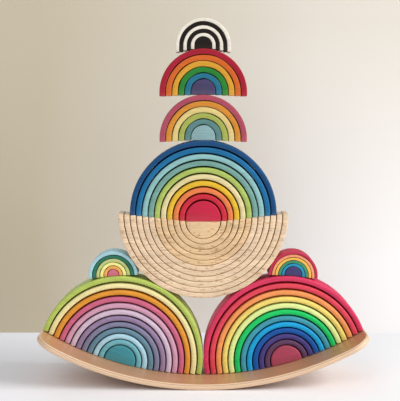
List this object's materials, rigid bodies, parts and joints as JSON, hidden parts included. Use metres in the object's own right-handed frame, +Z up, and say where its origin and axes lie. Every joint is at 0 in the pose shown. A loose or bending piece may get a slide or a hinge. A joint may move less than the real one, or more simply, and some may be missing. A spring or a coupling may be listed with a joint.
{
  "type": "rainbow stacker",
  "caption": "Tower of nested wooden rainbow arches balanced on a curved rocker board, each arch free to slide out of its nest.",
  "frame": {"origin": "middle of the rocker board's lowest line, where it rests on the floor", "axes": "+Z up, +X to the right seen from the front, the front faces -Y"},
  "size_m": [0.7414, 0.22, 0.8121],
  "materials": {
    "board": "satin lacquer",
    "left_lime": "matte stain",
    "left_cream": "matte stain",
    "left_orange": "matte stain",
    "left_rose": "matte stain",
    "left_pink": "matte stain",
    "left_lavender": "matte stain",
    "left_mauve": "matte stain",
    "left_slate": "matte stain",
    "left_steel": "matte stain",
    "left_sky": "matte stain",
    "left_turquoise": "matte stain",
    "left_teal": "matte stain",
    "right_magenta": "matte stain",
    "right_red": "matte stain",
    "right_orange": "matte stain",
    "right_yellow": "matte stain",
    "right_lime": "matte stain",
    "right_green": "matte stain",
    "right_teal": "matte stain",
    "right_sky": "matte stain",
    "right_navy": "matte stain",
    "right_purple": "matte stain",
    "right_plum": "matte stain",
    "right_brick": "matte stain",
    "natural_1_3": "raw",
    "natural_4_6": "raw",
    "natural_7_8": "raw",
    "natural_9_10": "raw",
    "natural_11_12": "raw",
    "blue_navy": "matte stain",
    "blue_royal": "matte stain",
    "blue_sky": "matte stain",
    "blue_sage": "matte stain",
    "blue_lime": "matte stain",
    "blue_cream": "matte stain",
    "blue_yellow": "matte stain",
    "blue_orange": "matte stain",
    "blue_red": "matte stain",
    "blue_cherry": "matte stain",
    "pink_rose": "matte stain",
    "pink_orange": "matte stain",
    "pink_cream": "matte stain",
    "pink_lime": "matte stain",
    "pink_teal": "matte stain",
    "pink_aqua": "matte stain",
    "red_crimson": "matte stain",
    "red_orange": "matte stain",
    "red_yellow": "matte stain",
    "red_green": "matte stain",
    "red_blue": "matte stain",
    "red_purple": "matte stain",
    "mono_white": "matte stain",
    "mono_black": "matte stain",
    "small_left_outer": "matte stain",
    "small_left_middle": "matte stain",
    "small_left_inner": "matte stain",
    "small_right_outer": "matte stain",
    "small_right_middle": "matte stain",
    "small_right_inner": "matte stain"
  },
  "bodies": {
    "board": {"board": "board"},
    "left_lime": {"left_lime": "left_lime"},
    "left_cream": {"left_cream": "left_cream"},
    "left_orange": {"left_orange": "left_orange"},
    "left_rose": {"left_rose": "left_rose"},
    "left_pink": {"left_pink": "left_pink"},
    "left_lavender": {"left_lavender": "left_lavender"},
    "left_mauve": {"left_mauve": "left_mauve"},
    "left_slate": {"left_slate": "left_slate"},
    "left_steel": {"left_steel": "left_steel"},
    "left_sky": {"left_sky": "left_sky"},
    "left_turquoise": {"left_turquoise": "left_turquoise"},
    "left_teal": {"left_teal": "left_teal"},
    "right_magenta": {"right_magenta": "right_magenta"},
    "right_red": {"right_red": "right_red"},
    "right_orange": {"right_orange": "right_orange"},
    "right_yellow": {"right_yellow": "right_yellow"},
    "right_lime": {"right_lime": "right_lime"},
    "right_green": {"right_green": "right_green"},
    "right_teal": {"right_teal": "right_teal"},
    "right_sky": {"right_sky": "right_sky"},
    "right_navy": {"right_navy": "right_navy"},
    "right_purple": {"right_purple": "right_purple"},
    "right_plum": {"right_plum": "right_plum"},
    "right_brick": {"right_brick": "right_brick"},
    "natural_1_3": {"natural_1_3": "natural_1_3"},
    "natural_4_6": {"natural_4_6": "natural_4_6"},
    "natural_7_8": {"natural_7_8": "natural_7_8"},
    "natural_9_10": {"natural_9_10": "natural_9_10"},
    "natural_11_12": {"natural_11_12": "natural_11_12"},
    "blue_navy": {"blue_navy": "blue_navy"},
    "blue_royal": {"blue_royal": "blue_royal"},
    "blue_sky": {"blue_sky": "blue_sky"},
    "blue_sage": {"blue_sage": "blue_sage"},
    "blue_lime": {"blue_lime": "blue_lime"},
    "blue_cream": {"blue_cream": "blue_cream"},
    "blue_yellow": {"blue_yellow": "blue_yellow"},
    "blue_orange": {"blue_orange": "blue_orange"},
    "blue_red": {"blue_red": "blue_red"},
    "blue_cherry": {"blue_cherry": "blue_cherry"},
    "pink_rose": {"pink_rose": "pink_rose"},
    "pink_orange": {"pink_orange": "pink_orange"},
    "pink_cream": {"pink_cream": "pink_cream"},
    "pink_lime": {"pink_lime": "pink_lime"},
    "pink_teal": {"pink_teal": "pink_teal"},
    "pink_aqua": {"pink_aqua": "pink_aqua"},
    "red_crimson": {"red_crimson": "red_crimson"},
    "red_orange": {"red_orange": "red_orange"},
    "red_yellow": {"red_yellow": "red_yellow"},
    "red_green": {"red_green": "red_green"},
    "red_blue": {"red_blue": "red_blue"},
    "red_purple": {"red_purple": "red_purple"},
    "mono_white": {"mono_white": "mono_white"},
    "mono_black": {"mono_black": "mono_black"},
    "small_left_outer": {"small_left_outer": "small_left_outer"},
    "small_left_middle": {"small_left_middle": "small_left_middle"},
    "small_left_inner": {"small_left_inner": "small_left_inner"},
    "small_right_outer": {"small_right_outer": "small_right_outer"},
    "small_right_middle": {"small_right_middle": "small_right_middle"},
    "small_right_inner": {"small_right_inner": "small_right_inner"}
  },
  "joints": [
    {"name": "pull_left_lime", "type": "slide", "parent": "board", "child": "left_lime", "axis": [0, -1, 0], "range_m": [0, 0.075]},
    {"name": "pull_left_cream", "type": "slide", "parent": "board", "child": "left_cream", "axis": [0, -1, 0], "range_m": [0, 0.075]},
    {"name": "pull_left_orange", "type": "slide", "parent": "board", "child": "left_orange", "axis": [0, -1, 0], "range_m": [0, 0.075]},
    {"name": "pull_left_rose", "type": "slide", "parent": "board", "child": "left_rose", "axis": [0, -1, 0], "range_m": [0, 0.075]},
    {"name": "pull_left_pink", "type": "slide", "parent": "board", "child": "left_pink", "axis": [0, -1, 0], "range_m": [0, 0.075]},
    {"name": "pull_left_lavender", "type": "slide", "parent": "board", "child": "left_lavender", "axis": [0, -1, 0], "range_m": [0, 0.075]},
    {"name": "pull_left_mauve", "type": "slide", "parent": "board", "child": "left_mauve", "axis": [0, -1, 0], "range_m": [0, 0.075]},
    {"name": "pull_left_slate", "type": "slide", "parent": "board", "child": "left_slate", "axis": [0, -1, 0], "range_m": [0, 0.075]},
    {"name": "pull_left_steel", "type": "slide", "parent": "board", "child": "left_steel", "axis": [0, -1, 0], "range_m": [0, 0.075]},
    {"name": "pull_left_sky", "type": "slide", "parent": "board", "child": "left_sky", "axis": [0, -1, 0], "range_m": [0, 0.075]},
    {"name": "pull_left_turquoise", "type": "slide", "parent": "board", "child": "left_turquoise", "axis": [0, -1, 0], "range_m": [0, 0.075]},
    {"name": "pull_left_teal", "type": "slide", "parent": "board", "child": "left_teal", "axis": [0, -1, 0], "range_m": [0, 0.075]},
    {"name": "pull_right_magenta", "type": "slide", "parent": "board", "child": "right_magenta", "axis": [0, -1, 0], "range_m": [0, 0.075]},
    {"name": "pull_right_red", "type": "slide", "parent": "board", "child": "right_red", "axis": [0, -1, 0], "range_m": [0, 0.075]},
    {"name": "pull_right_orange", "type": "slide", "parent": "board", "child": "right_orange", "axis": [0, -1, 0], "range_m": [0, 0.075]},
    {"name": "pull_right_yellow", "type": "slide", "parent": "board", "child": "right_yellow", "axis": [0, -1, 0], "range_m": [0, 0.075]},
    {"name": "pull_right_lime", "type": "slide", "parent": "board", "child": "right_lime", "axis": [0, -1, 0], "range_m": [0, 0.075]},
    {"name": "pull_right_green", "type": "slide", "parent": "board", "child": "right_green", "axis": [0, -1, 0], "range_m": [0, 0.075]},
    {"name": "pull_right_teal", "type": "slide", "parent": "board", "child": "right_teal", "axis": [0, -1, 0], "range_m": [0, 0.075]},
    {"name": "pull_right_sky", "type": "slide", "parent": "board", "child": "right_sky", "axis": [0, -1, 0], "range_m": [0, 0.075]},
    {"name": "pull_right_navy", "type": "slide", "parent": "board", "child": "right_navy", "axis": [0, -1, 0], "range_m": [0, 0.075]},
    {"name": "pull_right_purple", "type": "slide", "parent": "board", "child": "right_purple", "axis": [0, -1, 0], "range_m": [0, 0.075]},
    {"name": "pull_right_plum", "type": "slide", "parent": "board", "child": "right_plum", "axis": [0, -1, 0], "range_m": [0, 0.075]},
    {"name": "pull_right_brick", "type": "slide", "parent": "board", "child": "right_brick", "axis": [0, -1, 0], "range_m": [0, 0.075]},
    {"name": "pull_natural_1_3", "type": "slide", "parent": "board", "child": "natural_1_3", "axis": [0, -1, 0], "range_m": [0, 0.075]},
    {"name": "pull_natural_4_6", "type": "slide", "parent": "board", "child": "natural_4_6", "axis": [0, -1, 0], "range_m": [0, 0.075]},
    {"name": "pull_natural_7_8", "type": "slide", "parent": "board", "child": "natural_7_8", "axis": [0, -1, 0], "range_m": [0, 0.075]},
    {"name": "pull_natural_9_10", "type": "slide", "parent": "board", "child": "natural_9_10", "axis": [0, -1, 0], "range_m": [0, 0.075]},
    {"name": "pull_natural_11_12", "type": "slide", "parent": "board", "child": "natural_11_12", "axis": [0, -1, 0], "range_m": [0, 0.075]},
    {"name": "pull_blue_navy", "type": "slide", "parent": "board", "child": "blue_navy", "axis": [0, -1, 0], "range_m": [0, 0.075]},
    {"name": "pull_blue_royal", "type": "slide", "parent": "board", "child": "blue_royal", "axis": [0, -1, 0], "range_m": [0, 0.075]},
    {"name": "pull_blue_sky", "type": "slide", "parent": "board", "child": "blue_sky", "axis": [0, -1, 0], "range_m": [0, 0.075]},
    {"name": "pull_blue_sage", "type": "slide", "parent": "board", "child": "blue_sage", "axis": [0, -1, 0], "range_m": [0, 0.075]},
    {"name": "pull_blue_lime", "type": "slide", "parent": "board", "child": "blue_lime", "axis": [0, -1, 0], "range_m": [0, 0.075]},
    {"name": "pull_blue_cream", "type": "slide", "parent": "board", "child": "blue_cream", "axis": [0, -1, 0], "range_m": [0, 0.075]},
    {"name": "pull_blue_yellow", "type": "slide", "parent": "board", "child": "blue_yellow", "axis": [0, -1, 0], "range_m": [0, 0.075]},
    {"name": "pull_blue_orange", "type": "slide", "parent": "board", "child": "blue_orange", "axis": [0, -1, 0], "range_m": [0, 0.075]},
    {"name": "pull_blue_red", "type": "slide", "parent": "board", "child": "blue_red", "axis": [0, -1, 0], "range_m": [0, 0.075]},
    {"name": "pull_blue_cherry", "type": "slide", "parent": "board", "child": "blue_cherry", "axis": [0, -1, 0], "range_m": [0, 0.075]},
    {"name": "pull_pink_rose", "type": "slide", "parent": "board", "child": "pink_rose", "axis": [0, -1, 0], "range_m": [0, 0.065]},
    {"name": "pull_pink_orange", "type": "slide", "parent": "board", "child": "pink_orange", "axis": [0, -1, 0], "range_m": [0, 0.065]},
    {"name": "pull_pink_cream", "type": "slide", "parent": "board", "child": "pink_cream", "axis": [0, -1, 0], "range_m": [0, 0.065]},
    {"name": "pull_pink_lime", "type": "slide", "parent": "board", "child": "pink_lime", "axis": [0, -1, 0], "range_m": [0, 0.065]},
    {"name": "pull_pink_teal", "type": "slide", "parent": "board", "child": "pink_teal", "axis": [0, -1, 0], "range_m": [0, 0.065]},
    {"name": "pull_pink_aqua", "type": "slide", "parent": "board", "child": "pink_aqua", "axis": [0, -1, 0], "range_m": [0, 0.065]},
    {"name": "pull_red_crimson", "type": "slide", "parent": "board", "child": "red_crimson", "axis": [0, -1, 0], "range_m": [0, 0.065]},
    {"name": "pull_red_orange", "type": "slide", "parent": "board", "child": "red_orange", "axis": [0, -1, 0], "range_m": [0, 0.065]},
    {"name": "pull_red_yellow", "type": "slide", "parent": "board", "child": "red_yellow", "axis": [0, -1, 0], "range_m": [0, 0.065]},
    {"name": "pull_red_green", "type": "slide", "parent": "board", "child": "red_green", "axis": [0, -1, 0], "range_m": [0, 0.065]},
    {"name": "pull_red_blue", "type": "slide", "parent": "board", "child": "red_blue", "axis": [0, -1, 0], "range_m": [0, 0.065]},
    {"name": "pull_red_purple", "type": "slide", "parent": "board", "child": "red_purple", "axis": [0, -1, 0], "range_m": [0, 0.065]},
    {"name": "pull_mono_white", "type": "slide", "parent": "board", "child": "mono_white", "axis": [0, -1, 0], "range_m": [0, 0.055]},
    {"name": "pull_mono_black", "type": "slide", "parent": "board", "child": "mono_black", "axis": [0, -1, 0], "range_m": [0, 0.055]},
    {"name": "pull_small_left_outer", "type": "slide", "parent": "board", "child": "small_left_outer", "axis": [0, -1, 0], "range_m": [0, 0.06]},
    {"name": "pull_small_left_middle", "type": "slide", "parent": "board", "child": "small_left_middle", "axis": [0, -1, 0], "range_m": [0, 0.06]},
    {"name": "pull_small_left_inner", "type": "slide", "parent": "board", "child": "small_left_inner", "axis": [0, -1, 0], "range_m": [0, 0.06]},
    {"name": "pull_small_right_outer", "type": "slide", "parent": "board", "child": "small_right_outer", "axis": [0, -1, 0], "range_m": [0, 0.06]},
    {"name": "pull_small_right_middle", "type": "slide", "parent": "board", "child": "small_right_middle", "axis": [0, -1, 0], "range_m": [0, 0.06]},
    {"name": "pull_small_right_inner", "type": "slide", "parent": "board", "child": "small_right_inner", "axis": [0, -1, 0], "range_m": [0, 0.06]}
  ]
}
